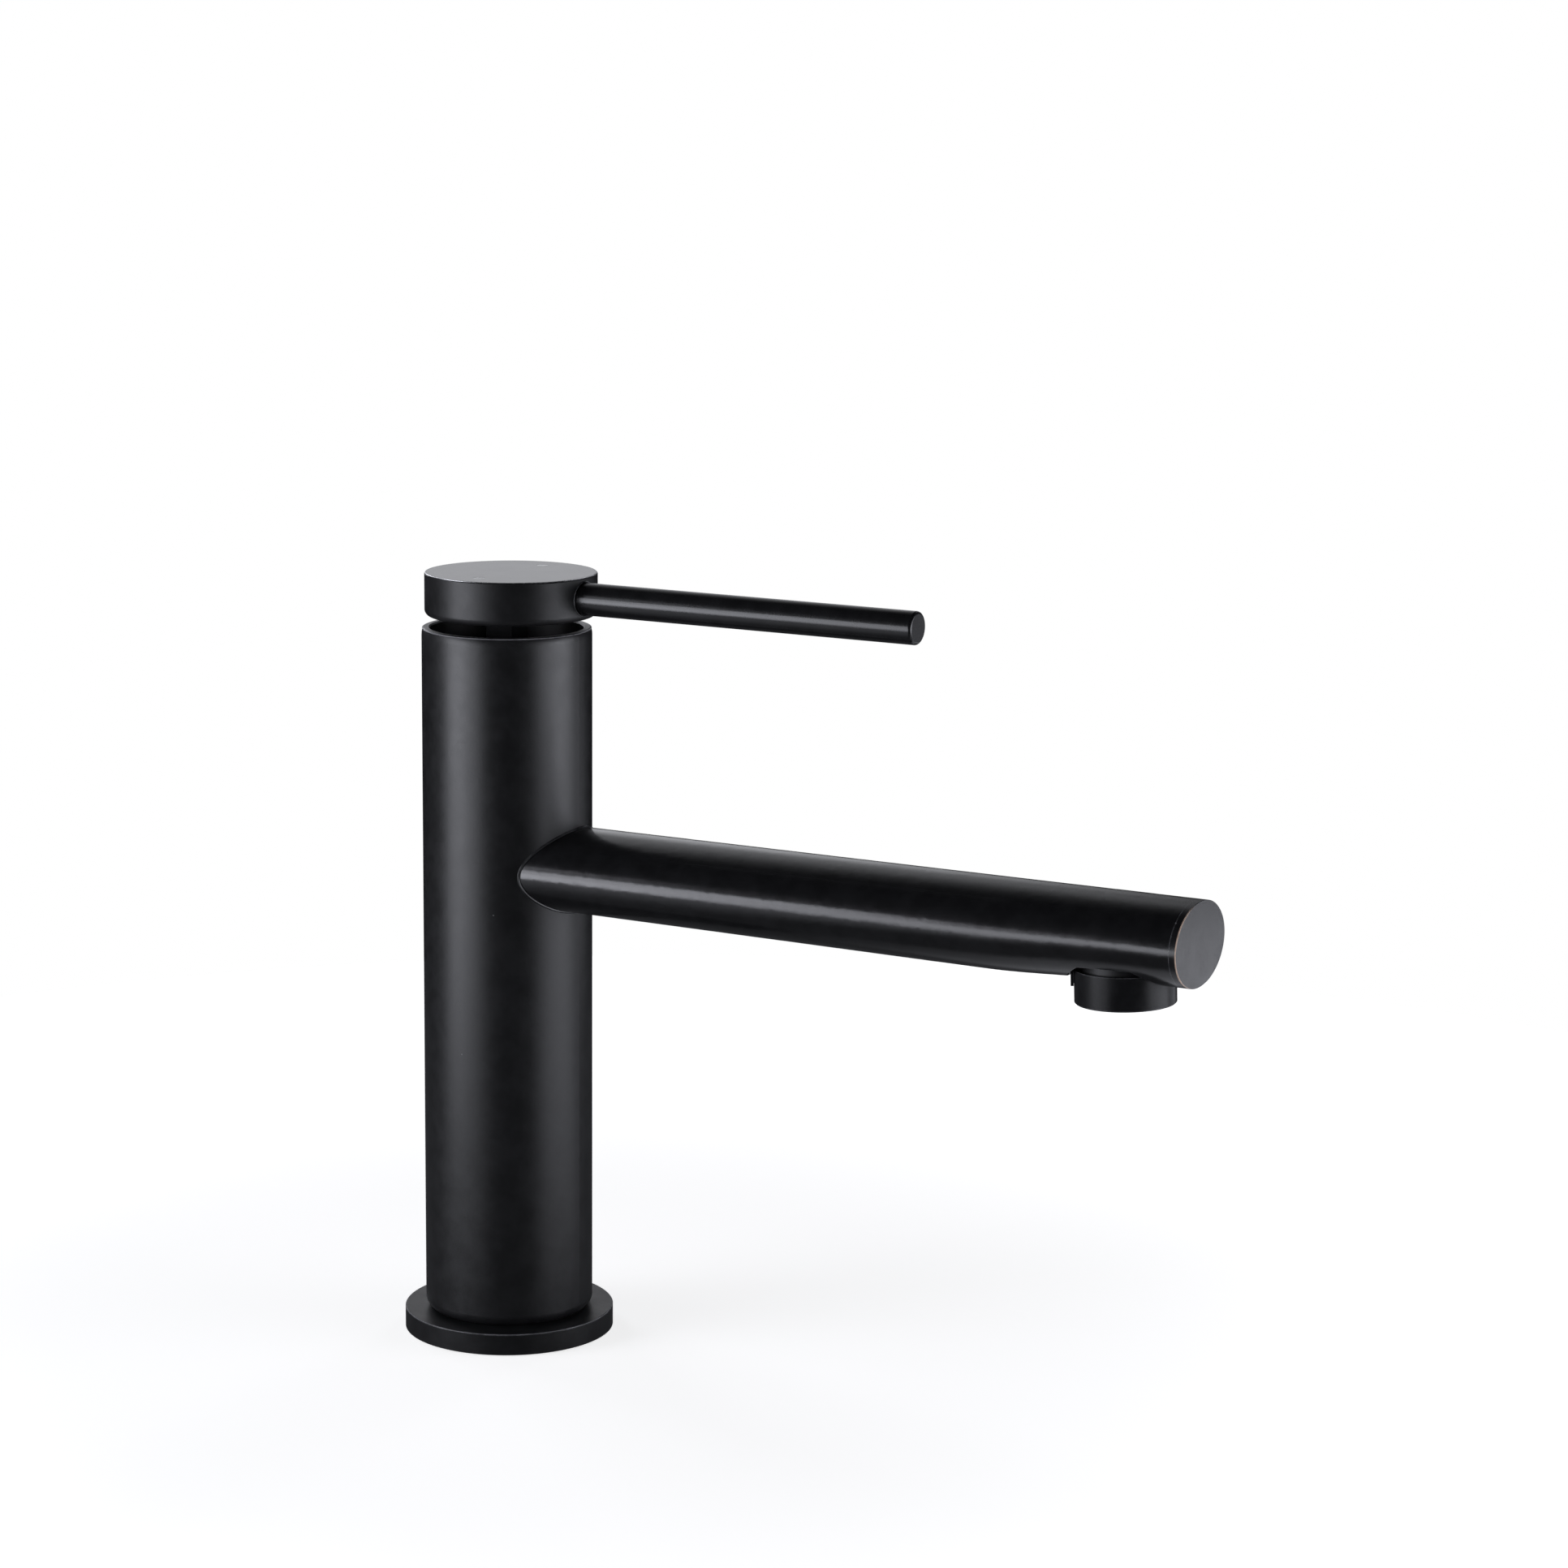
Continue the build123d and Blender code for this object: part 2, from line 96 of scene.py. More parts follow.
class MixerFinish(bpy.types.PropertyGroup):
    """Colours and gloss of the finishes"""
    paint: colour("Paint", "Satin black coat of the outer pieces", (0.0105, 0.0106, 0.0113))
    paint_wear_and_highlight: colour("Worn and highlit paint", "Coat along edges, rubbed and with painted highlight", (0.17, 0.17, 0.178))
    dust: colour("Dust", "Specks of dust on the coat", (0.16, 0.16, 0.165))
    brass: colour("Brass", "Machined brass inside the body", (0.62, 0.45, 0.2))
    copper: colour("Copper", "Bare metal along the spout's worn tip", (0.75, 0.55, 0.42))
    plastic: colour("Black plastic", "Dust ring and aerator plastic", (0.012, 0.012, 0.013))
    cartridge: colour("Cartridge plastic", "Pale moulding of the cartridge", (0.55, 0.54, 0.5))
    rubber: colour("Rubber", "Gasket and seals", (0.016, 0.016, 0.016))
    ceramic: colour("Ceramic", "Sealing discs", (0.72, 0.7, 0.66))
    steel: colour("Steel", "Stem, pin and screw", (0.56, 0.56, 0.57))
    # Painted shade: the stem in the dark mouth is coloured near-black
    stem_painted_dark: colour("Stem in painted shade", "Stem below the lever", (0.006, 0.006, 0.007))
    inlay: colour("Inlay", "Pale grey marks on the cap", (0.6, 0.6, 0.62))
    # Painted highlight: pale colours of the beads that stand in for the light caught by round edges
    bright: colour("Bright edge", "Painted highlight line around the cap's top", (0.8, 0.8, 0.82))
    edge_highlight_grey: colour("Edge highlight", "Painted highlight lines around mouth and flange", (0.22, 0.22, 0.23))
    body_roughness: share("Body roughness", "Gloss of body and flange", 0.375)
    cap_roughness: share("Cap roughness", "Gloss of the cap's side", 0.41)
    top_roughness: share("Top roughness", "Gloss of the cap's flat top", 0.22)
    spout_roughness: share("Spout roughness", "Gloss of spout and lever", 0.20)
    ring_roughness: share("Ring roughness", "Gloss of the aerator ring", 0.31)
    grain_size: length("Grain size", "Width of the coat's fine grain", 0.45 * MM)
    blotch_size: length("Blotch size", "Width of the coat's soft patches", 5.0 * MM)


class MixerDetail(bpy.types.PropertyGroup):
    """Sizes of the modelled details"""
    seam_radius: length("Seam radius", "Bead where spout and body meet", 0.32 * MM)
    seam_room: length("Seam room", "How far the bead's line lies outside the spout", 0.14 * MM)
    rim_radius: length("Rim radius", "Bead around the lever's hole", 0.2 * MM)
    rim_room: length("Rim room", "How far that bead lies outside the lever", 0.3 * MM)
    edge_radius: length("Edge radius", "Thin painted highlight lines along the round edges", 0.12 * MM)
    inlay_dome: length("Inlay dome", "Fall from the middle of a mark to its edge", 0.02 * MM)
    thread_pitch: length("Thread pitch", "Pitch of the threads under the base", 1.0 * MM)
    thread_depth: length("Thread depth", "Depth of those threads", 0.45 * MM)


class MixerStage(bpy.types.PropertyGroup):
    """Camera, floor and lamps"""
    camera_place: bpy.props.FloatVectorProperty(
        name="Camera place", description="Where the camera stands",
        subtype="TRANSLATION", unit="LENGTH", size=3, default=(0.5116, -0.78492, 0.30772))
    camera_azimuth: angle("Camera azimuth", "Turn of the view about the vertical", 29.846)
    camera_pitch: angle("Camera pitch", "How far the view looks down", 10.514)
    camera_roll: angle("Camera roll", "Turn of the view about its own axis", 0.382)
    lens: bpy.props.FloatProperty(
        name="Lens", description="Focal length on a 36 mm wide sensor", unit="CAMERA",
        default=92.63)
    light_distance: length("Light distance", "From the body's axis to each soft light", 0.85)
    base_radiance: bpy.props.FloatProperty(
        name="Base light", description="Strength of the lamp under the base", min=0, default=1.2)
    floor_radius: length("Floor radius", "Reach of the pale floor", 0.42)


# ---- Node helpers ----
def new_tree(name):
    """A new material and its node tree, still empty."""
    material = bpy.data.materials.new(name)
    material.use_nodes = True
    material.node_tree.nodes.clear()
    return material, material.node_tree


def add(tree, kind, **settings):
    """Adds a node and sets its options."""
    node = tree.nodes.new(kind)
    for key, value in settings.items():
        setattr(node, key, value)
    return node


def feed(tree, socket, value):
    """Links another node's output to a socket, or sets the socket to a value."""
    if isinstance(value, bpy.types.NodeSocket):
        tree.links.new(value, socket)
    else:
        socket.default_value = value


def put(tree, node, **sockets):
    """Feeds a node's inputs by name; an underscore in a name stands for a space."""
    for key, value in sockets.items():
        feed(tree, node.inputs[key.replace("_", " ")], value)
    return node


def maths(tree, operation, *values, clamp=False):
    """The result of one sum on values or other nodes' outputs."""
    node = add(tree, "ShaderNodeMath", operation=operation, use_clamp=clamp)
    for socket, value in zip(node.inputs, values):
        feed(tree, socket, value)
    return node.outputs["Value"]


def vector_maths(tree, operation, result, *values):
    """The result of one sum on vectors; its socket is named by result."""
    node = add(tree, "ShaderNodeVectorMath", operation=operation)
    for socket, value in zip(node.inputs, values):
        feed(tree, socket, value)
    return node.outputs[result]


def ramp(tree, value, low, high, to_low=0.0, to_high=1.0):
    """A smooth step from one value to another."""
    node = add(tree, "ShaderNodeMapRange", interpolation_type="SMOOTHSTEP")
    put(tree, node, Value=value, From_Min=low, From_Max=high, To_Min=to_low, To_Max=to_high)
    return node.outputs["Result"]


def mix_colour(tree, factor, first, second):
    """The first colour where the factor is 0, and the second where it is 1."""
    node = add(tree, "ShaderNodeMix", data_type="RGBA")
    colour_inputs = [socket for socket in node.inputs if socket.type == "RGBA"]
    for socket, value in zip((node.inputs[0], *colour_inputs), (factor, first, second)):
        feed(tree, socket, value)
    return next(socket for socket in node.outputs if socket.type == "RGBA")


def mix_surfaces(tree, factor, first, second):
    """The first surface where the factor is 0, and the second where it is 1."""
    node = add(tree, "ShaderNodeMixShader")
    for socket, value in zip(node.inputs, (factor, first, second)):
        feed(tree, socket, value)
    return node.outputs["Shader"]


def parts_of(tree, vector):
    """The X, Y and Z parts of a vector."""
    return put(tree, add(tree, "ShaderNodeSeparateXYZ"), Vector=vector).outputs


def new_group(name, inputs, outputs):
    """A shader node group with named float, vector or colour sockets."""
    tree = bpy.data.node_groups.new(name, "ShaderNodeTree")
    for socket, (kind, value) in inputs.items():
        made = tree.interface.new_socket(socket, in_out="INPUT", socket_type="NodeSocket" + kind)
        if value is not None:
            made.default_value = value
    for socket, kind in outputs.items():
        tree.interface.new_socket(socket, in_out="OUTPUT", socket_type="NodeSocket" + kind)
    return tree, add(tree, "NodeGroupInput").outputs, add(tree, "NodeGroupOutput")


def use_group(tree, name, **sockets):
    """Places a node group and gives its outputs."""
    node = add(tree, "ShaderNodeGroup", node_tree=bpy.data.node_groups[name])
    return put(tree, node, **sockets).outputs


# ---- Shared effects ----
PATCH_NOISE = (0.3, 0.7)  # noise at which a soft patch starts and is full
EDGE_BEND = (0.995, 0.9)  # cosine of the bend at which an edge starts to pale, as wear and painted highlight, and is full
EDGE_PALE_NOISE = (0.35, 0.65)  # noise at which the paler edge starts to grow and is full
EDGE_PALE_LEAST = 0.35  # share of the paler edge that is always there


def make_coat_grain():
    """Fine grain for the bump, and soft patches in tone and gloss."""
    tree, given, result = new_group(
        "coat_grain",
        {"Vector": ("Vector", None), "Grain Size": ("Float", 0.0005),
         "Blotch Size": ("Float", 0.005), "Roughness": ("Float", 0.4), "Spread": ("Float", 0.05)},
        {"Height": "Float", "Roughness": "Float", "Tone": "Float"})
    fine = add(tree, "ShaderNodeTexNoise")
    put(tree, fine, Vector=given["Vector"], Scale=maths(tree, "DIVIDE", 1.0, given["Grain Size"]),
        Detail=2.0, Roughness=0.6)
    soft = add(tree, "ShaderNodeTexNoise")
    put(tree, soft, Vector=given["Vector"], Scale=maths(tree, "DIVIDE", 1.0, given["Blotch Size"]),
        Detail=4.0, Roughness=0.62)
    tone = ramp(tree, soft.outputs["Fac"], *PATCH_NOISE)
    swing = maths(tree, "SUBTRACT", tone, 0.5)
    fine_swing = maths(tree, "SUBTRACT", fine.outputs["Fac"], 0.5)
    both = maths(tree, "ADD", swing, fine_swing)
    shift = maths(tree, "MULTIPLY", both, given["Spread"])
    put(tree, result, Height=fine.outputs["Fac"],
        Roughness=maths(tree, "ADD", given["Roughness"], shift, clamp=True), Tone=tone)


def make_dust_specks():
    """A few tiny specks, one at most in each cell of a random pattern."""
    tree, given, result = new_group(
        "dust_specks",
        {"Vector": ("Vector", None), "Spacing": ("Float", 0.004), "Speck Size": ("Float", 0.0002),
         "Amount": ("Float", 0.1)},
        {"Mask": "Float"})
    cells = add(tree, "ShaderNodeTexVoronoi")
    put(tree, cells, Vector=given["Vector"], Scale=maths(tree, "DIVIDE", 1.0, given["Spacing"]))
    pick = add(tree, "ShaderNodeSeparateColor")
    put(tree, pick, Color=cells.outputs["Color"])
    limit = maths(tree, "SUBTRACT", 1.0, given["Amount"])
    chosen = maths(tree, "GREATER_THAN", pick.outputs["Red"], limit)
    size = maths(tree, "DIVIDE", given["Speck Size"], given["Spacing"])
    varied = maths(tree, "MULTIPLY", size, maths(tree, "ADD", pick.outputs["Green"], 0.5))
    near = maths(tree, "LESS_THAN", cells.outputs["Distance"], varied)
    put(tree, result, Mask=maths(tree, "MULTIPLY", chosen, near))


def make_edge_wear_and_highlight():
    """Paler paint along sharp edges, partly rubbed wear and partly painted highlight, broken up by
    noise.
    """
    tree, given, result = new_group(
        "edge_wear_and_highlight",
        {"Vector": ("Vector", None), "Width": ("Float", 0.0003), "Breakup": ("Float", 0.003)},
        {"Mask": "Float"})
    rounded = add(tree, "ShaderNodeBevel", samples=4)
    put(tree, rounded, Radius=given["Width"])
    flat = add(tree, "ShaderNodeNewGeometry")
    bend = vector_maths(tree, "DOT_PRODUCT", "Value", rounded.outputs["Normal"],
                        flat.outputs["Normal"])
    edge = ramp(tree, bend, *EDGE_BEND)
    patches = add(tree, "ShaderNodeTexNoise")
    put(tree, patches, Vector=given["Vector"], Scale=maths(tree, "DIVIDE", 1.0, given["Breakup"]),
        Detail=3.0)
    broken = ramp(tree, patches.outputs["Fac"], *EDGE_PALE_NOISE, EDGE_PALE_LEAST, 1.0)
    put(tree, result, Mask=maths(tree, "MULTIPLY", edge, broken))


def make_bore_mask():
    """Marks what lies inside an upright cylinder about the body's axis and below a height."""
    tree, given, result = new_group(
        "bore_mask",
        {"Vector": ("Vector", None), "Radius": ("Float", 0.017), "Top": ("Float", 0.16)},
        {"Mask": "Float"})
    level = vector_maths(tree, "MULTIPLY", "Vector", given["Vector"], (1, 1, 0))
    distance = vector_maths(tree, "LENGTH", "Value", level)
    inside = maths(tree, "LESS_THAN", distance, given["Radius"])
    below = maths(tree, "LESS_THAN", parts_of(tree, given["Vector"])["Z"], given["Top"])
    put(tree, result, Mask=maths(tree, "MULTIPLY", inside, below))


def make_groups():
    """Makes the node groups that the finishes share."""
    make_coat_grain()
    make_dust_specks()
    make_edge_wear_and_highlight()
    make_bore_mask()


# ---- Materials ----
PATCH_LIFT = 1.5  # how much paler the coat's soft patches are
COAT_BUMP = 0.6  # strength of the coat's grain
DUST_ROUGHNESS = 0.3  # how much rougher a speck of dust is
TOP_FADE = (0.12 * MM, 0.03 * MM)  # depth in the cap where its top's gloss starts and is full
TOP_CALM = 0.2  # share of grain and patches that is left on the cap's top
LEVER_ROUGHER = 0.02  # than the spout
BRASS_INSET = 2.8 * MM  # bare brass starts this far inside the body's outer face
RUBBED_RIM = (0.975, 0.99)  # how far out on the spout's end the copper line starts and is full
RUBBED_SIDE = (-0.2, -0.75)  # how far along the spout's width the copper line starts and is full
RUBBED_DEPTH = (0.3 * MM, 0.1 * MM)  # depth behind the spout's end where it starts and is full
METAL_SHADE = 0.72  # how much darker the patches of turned metal are
METAL_EDGE = 1.25  # how much paler its edges are, as wear and painted highlight
RING_DEPTH = 0.008 * MM  # of the marks that a lathe leaves
RINGS = {"Scale": 600.0, "Distortion": 1.5, "Detail": 2.0}  # and their pattern
EDGE_LIFT = 0.02  # added to a colour along its edges, as wear and painted highlight


def rgba(value):
    """A colour with full cover."""
    return (*value, 1.0)


def scaled(value, factor):
    """A colour made paler or darker, at most white."""
    return rgba(min(1.0, part * factor) for part in value)


def start_material(name):
    """A material with its shader, output and object coordinates."""
    material, tree = new_tree(name)
    out = add(tree, "ShaderNodeOutputMaterial")
    shader = add(tree, "ShaderNodeBsdfPrincipled")
    tree.links.new(shader.outputs["BSDF"], out.inputs["Surface"])
    place = add(tree, "ShaderNodeTexCoord").outputs["Object"]
    return material, tree, shader, place


def satin_black(name, finish, roughness, spread=0.05, grain_depth=0.016, specks=0.035,
                bare_radius=0.0, bare_top=0.0, top_roughness=0.0, ior=1.5):
    """The coat of the outer pieces.

    Inside bare_radius and below bare_top the brass shows. With a top_roughness, the cap's flat top
    is smoother than its side.
    """
    material, tree, shader, place = start_material(name)
    grain = use_group(tree, "coat_grain", Vector=place, Grain_Size=finish.grain_size,
                      Blotch_Size=finish.blotch_size, Roughness=roughness, Spread=spread)
    wear_and_highlight = use_group(tree, "edge_wear_and_highlight", Vector=place)["Mask"]
    dust = use_group(tree, "dust_specks", Vector=place, Amount=specks)["Mask"]
    base = mix_colour(tree, grain["Tone"], rgba(finish.paint), scaled(finish.paint, PATCH_LIFT))
    # Paler edges: partly rubbed paint, partly a painted highlight along them
    base = mix_colour(tree, wear_and_highlight, base, rgba(finish.paint_wear_and_highlight))
    base = mix_colour(tree, dust, base, rgba(finish.dust))
    rough = grain["Roughness"]
    height = maths(tree, "SUBTRACT", grain["Height"], 0.5)
    if top_roughness:
        starts, full = (CAP_BOX[1].z - depth for depth in TOP_FADE)
        top = ramp(tree, parts_of(tree, place)["Z"], starts, full)
        calm = ramp(tree, top, 0.0, 1.0, 1.0, TOP_CALM)
        height = maths(tree, "MULTIPLY", height, calm)
        patches = maths(tree, "MULTIPLY", maths(tree, "SUBTRACT", rough, roughness), calm)
        rough = maths(tree, "ADD", ramp(tree, top, 0.0, 1.0, roughness, top_roughness), patches)
    if bare_radius:
        bare = use_group(tree, "bore_mask", Vector=place, Radius=bare_radius, Top=bare_top)["Mask"]
        base = mix_colour(tree, bare, base, rgba(finish.brass))
        put(tree, shader, Metallic=bare)
    rough = maths(tree, "ADD", rough, maths(tree, "MULTIPLY", dust, DUST_ROUGHNESS), clamp=True)
    bump = add(tree, "ShaderNodeBump")
    put(tree, bump, Strength=COAT_BUMP, Distance=grain_depth * MM, Height=height)
    put(tree, shader, Base_Color=base, Roughness=rough, Normal=bump.outputs["Normal"], IOR=ior)
    return material


def plain_finish(name, finish, base, roughness, metallic=0.0, grain_size=0.4 * MM, tone=0.18,
                 depth=0.01, ior=1.5):
    """A moulded, machined or ground finish with fine grain, soft patches and paler edges, partly
    wear and partly painted highlight.
    """
    material, tree, shader, place = start_material(name)
    grain = use_group(tree, "coat_grain", Vector=place, Grain_Size=grain_size,
                      Blotch_Size=finish.blotch_size, Roughness=roughness, Spread=0.12)
    wear_and_highlight = use_group(tree, "edge_wear_and_highlight", Vector=place)["Mask"]
    pale = tuple(min(1.0, part * (1 + tone) + EDGE_LIFT) for part in base)
    patchy = mix_colour(tree, grain["Tone"], scaled(base, 1 - tone), rgba(base))
    worn_and_highlit = mix_colour(tree, wear_and_highlight, patchy, rgba(pale))
    bump = add(tree, "ShaderNodeBump")
    put(tree, bump, Strength=0.5, Distance=depth * MM, Height=grain["Height"])
    put(tree, shader, Base_Color=worn_and_highlit, Roughness=grain["Roughness"], Normal=bump.outputs["Normal"],
        Metallic=metallic, IOR=ior)
    return material


def turned_metal(name, finish, base, roughness):
    """Bright metal with the fine rings that a lathe leaves across its height."""
    material, tree, shader, place = start_material(name)
    grain = use_group(tree, "coat_grain", Vector=place, Grain_Size=0.6 * MM,
                      Blotch_Size=finish.blotch_size, Roughness=roughness, Spread=0.1)
    wear_and_highlight = use_group(tree, "edge_wear_and_highlight", Vector=place)["Mask"]
    rings = add(tree, "ShaderNodeTexWave", wave_type="BANDS", bands_direction="Z")
    put(tree, rings, Vector=place, **RINGS)
    patchy = mix_colour(tree, grain["Tone"], scaled(base, METAL_SHADE), rgba(base))
    bright = mix_colour(tree, wear_and_highlight, patchy, scaled(base, METAL_EDGE))
    height = maths(tree, "ADD", rings.outputs["Fac"], maths(tree, "MULTIPLY", grain["Height"], 0.5))
    bump = add(tree, "ShaderNodeBump")
    put(tree, bump, Strength=0.4, Distance=RING_DEPTH, Height=height)
    put(tree, shader, Base_Color=bright, Roughness=grain["Roughness"], Metallic=1.0,
        Normal=bump.outputs["Normal"])
    return material


def end_face_finish(finish):
    """The spout's end: the same coat, with a copper line where its rim is rubbed through."""
    material = satin_black("black_end", finish, roughness=0.24, specks=0.03)
    tree = material.node_tree
    shader = next(node for node in tree.nodes if node.type == "BSDF_PRINCIPLED")
    place = next(node for node in tree.nodes if node.type == "TEX_COORD").outputs["Object"]
    coat = shader.inputs["Base Color"].links[0].from_socket
    parts = parts_of(tree, place)
    tip = TIP_BOX[1].x
    half_width = TIP_BOX[1].y
    middle = (TIP_BOX[0].z + TIP_BOX[1].z) / 2
    half_height = (TIP_BOX[1].z - TIP_BOX[0].z) / 2
    across = maths(tree, "DIVIDE", parts["Y"], half_width)
    up = maths(tree, "DIVIDE", maths(tree, "SUBTRACT", parts["Z"], middle), half_height)
    squares = [maths(tree, "POWER", part, 2.0) for part in (across, up)]
    reach = maths(tree, "SQRT", maths(tree, "ADD", *squares))
    rim = ramp(tree, reach, *RUBBED_RIM)
    front = ramp(tree, parts["X"], *(tip - depth for depth in RUBBED_DEPTH))
    side = ramp(tree, across, *RUBBED_SIDE)
    line = maths(tree, "MULTIPLY", maths(tree, "MULTIPLY", rim, side), front)
    base = mix_colour(tree, line, coat, rgba(finish.copper))
    put(tree, shader, Base_Color=base)
    return material


def node_materials(finish):
    """Makes every finish, and says which one each node takes.

    The choice is listed by slot and node; the empty name stands for the slot's other nodes.
    """
    chamber_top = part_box("cartridge_nut")[0].z
    black_body = satin_black("black_body", finish, finish.body_roughness,
                             bare_radius=BODY_R - BRASS_INSET, bare_top=chamber_top)
    black_cap = satin_black("black_cap", finish, finish.cap_roughness,
                            top_roughness=finish.top_roughness, ior=1.44)
    black_spout = satin_black("black_spout", finish, finish.spout_roughness, spread=0.015,
                              grain_depth=0.010, ior=1.55)
    black_lever = satin_black("black_lever", finish, finish.spout_roughness + LEVER_ROUGHER,
                              spread=0.015, grain_depth=0.007)
    black_ring = satin_black("black_ring", finish, finish.ring_roughness, ior=1.3)
    brass = turned_metal("turned_brass", finish, finish.brass, roughness=0.28)
    steel = turned_metal("ground_steel", finish, finish.steel, roughness=0.25)
    # Painted shade: the stem seen inside the mouth is near-black to stand in for the shade there
    stem_painted_dark = plain_finish("stem_painted_shade", finish, finish.stem_painted_dark, roughness=0.6, ior=1.2)
    plastic = plain_finish("black_plastic", finish, finish.plastic, roughness=0.42)
    pale_plastic = plain_finish("cartridge_plastic", finish, finish.cartridge, roughness=0.45)
    rubber = plain_finish("seal_rubber", finish, finish.rubber, roughness=0.68,
                          grain_size=0.3 * MM, depth=0.02)
    ceramic = plain_finish("disc_ceramic", finish, finish.ceramic, roughness=0.2, tone=0.08,
                           depth=0.002)
    inlay = plain_finish("pale_inlay", finish, finish.inlay, roughness=0.22, tone=0.1,
                         depth=0.001, ior=1.9)
    # Pale beads along round edges: painted highlight lines for the light that those edges catch
    plain_finish("cap_highlight_line", finish, finish.bright, roughness=0.25, metallic=1.0, tone=0.05,
                 depth=0.001)
    plain_finish("edge_highlight_line", finish, finish.edge_highlight_grey, roughness=0.3, grain_size=1.5 * MM,
                 tone=0.5)
    return {
        "black_finish": {"mixer_body": black_body, "spout_tube": black_spout,
                         "lever_rod": black_lever, "aerator_housing": black_ring,
                         "spout_end_plate": end_face_finish(finish), "": black_cap},
        "brass": {"": brass},
        "black_plastic": {"": plastic},
        "seal_rubber": {"": rubber},
        "cartridge_plastic": {"": pale_plastic},
        "disc_ceramic": {"": ceramic},
        "steel": {"lever_stem": stem_painted_dark, "": steel},
        "dot_inlay": {"": inlay},
    }


def give_material(piece, material):
    """Puts one material in a piece's slots."""
    piece.data.materials.clear()
    piece.data.materials.append(material)


class MIXER_OT_finishes(bpy.types.Operator):
    """Gives every piece of the frame its finish"""
    bl_idname = "mixer.finishes"
    bl_label = "Finishes"

    def execute(self, context):
        make_groups()
        by_slot = node_materials(context.scene.mixer_finish)
        slots = {part["node"]: part["material_slot"] for part in frame["record"]["subparts"]}
        for name, node in frame["nodes"].items():
            choices = by_slot[slots[name]]
            give_material(node, choices.get(name, choices[""]))
        return {"FINISHED"}


# ---- Pieces ----
ROOT_BAND = 0.1 * MM  # how near the spout's root its first points lie
SEAM_START = 10 * MM  # how far outside the body the seam's line starts
SEAM_TUCK = 0.05 * MM  # how much nearer the seam lies at the spout's sides
RIM_START = 5 * MM  # how far outside the cap the line round the lever starts
MOUTH_BAND = 0.4 * MM  # how deep the points of the body's rim reach
MARK_POINTS = 48  # points around a mark
DOME_STEPS = 4  # rings in a mark's domed top
DOME_REACH = 0.9  # share of a mark's radius that is domed
FACES_UP = 0.9  # least Z of the normal of a face that looks up
THREAD_START = 1.5  # turns above the face where a thread starts
THREAD_SHORTER = 3  # turns that a thread is shorter than its hole
TURN_STEPS = 32  # straight pieces in one turn of a thread
# Each painted highlight line along a round edge: piece, body, how far inside the edge and below it
# the line lies, finish.
HIGHLIGHT_EDGES = (
    ("cap_edge", "handle", 0.25 * MM, 0.14 * MM, "cap_highlight_line"),
    ("mouth_edge", "fixed_body", 0.25 * MM, 0.25 * MM, "edge_highlight_line"),
    ("bore_edge", "fixed_body", -0.24 * MM, 0.24 * MM, "edge_highlight_line"),
    ("flange_edge", "fixed_body", 0.19 * MM, 0.19 * MM, "edge_highlight_line"),
)


def deselect():
    """Leaves edit mode and deselects everything."""
    if bpy.context.object and bpy.context.object.mode != "OBJECT":
        bpy.ops.object.mode_set(mode="OBJECT")
    bpy.ops.object.select_all(action="DESELECT")


def make_active(piece):
    """Selects one piece alone."""
    deselect()
    piece.select_set(True)
    bpy.context.view_layer.objects.active = piece


def settle(piece, name, body, material):
    """Puts a finished piece's place into its mesh and hangs it on its body."""
    make_active(piece)
    bpy.ops.object.transform_apply(location=True, rotation=True, scale=True)
    piece.name = name
    piece.data.name = name
    give_material(piece, bpy.data.materials[material])
    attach(piece, body)
    deselect()


def select_faces(piece, wanted):
    """Selects the faces whose normal passes a test, and leaves the mesh in edit mode."""
    bpy.ops.object.mode_set(mode="EDIT")
    bpy.ops.mesh.select_mode(type="FACE")
    bpy.ops.mesh.select_all(action="DESELECT")
    bpy.ops.object.mode_set(mode="OBJECT")
    for face in piece.data.polygons:
        face.select = wanted(face.normal)
    bpy.ops.object.mode_set(mode="EDIT")


def merge_doubles():
    """Merges the points that lie together, and leaves the mesh in edit mode."""
    bpy.ops.object.mode_set(mode="EDIT")
    bpy.ops.mesh.select_all(action="SELECT")
    bpy.ops.mesh.remove_doubles(threshold=WELD)


def finish_mesh(limit_degrees=35):
    """Merges doubles, points the faces outwards and smooths all but the sharp edges."""
    merge_doubles()
    bpy.ops.mesh.normals_make_consistent(inside=False)
    bpy.ops.object.mode_set(mode="OBJECT")
    bpy.ops.object.shade_smooth_by_angle(angle=math.radians(limit_degrees))


def round_bead(radius):
    """Turns the active closed line into a thin round bead."""
    bpy.ops.object.convert(target="CURVE")
    bead = bpy.context.object
    bead.data.bevel_depth = radius
    bead.data.bevel_resolution = 3
    bpy.ops.object.convert(target="MESH")
    finish_mesh()
    return bpy.context.object


def bead_on(target, start_x, half_width, half_height, height, bead_radius, points=128):
    """A thin round bead that follows an oval line along X onto a node's near surface."""
    deselect()
    bpy.ops.mesh.primitive_circle_add(
        vertices=points, radius=1.0, location=(start_x, 0, height), rotation=(0, math.pi / 2, 0))
    bead = bpy.context.object
    bead.scale = (half_height, half_width, 1.0)
    bpy.ops.object.transform_apply(location=True, rotation=True, scale=True)
    wrap = bead.modifiers.new("wrap", "SHRINKWRAP")
    wrap.wrap_method = "PROJECT"
    wrap.target = frame["nodes"][target]
    wrap.use_project_x = True
    wrap.use_positive_direction = False
    wrap.use_negative_direction = True
    bpy.ops.object.modifier_apply(modifier="wrap")
    return round_bead(bead_radius)


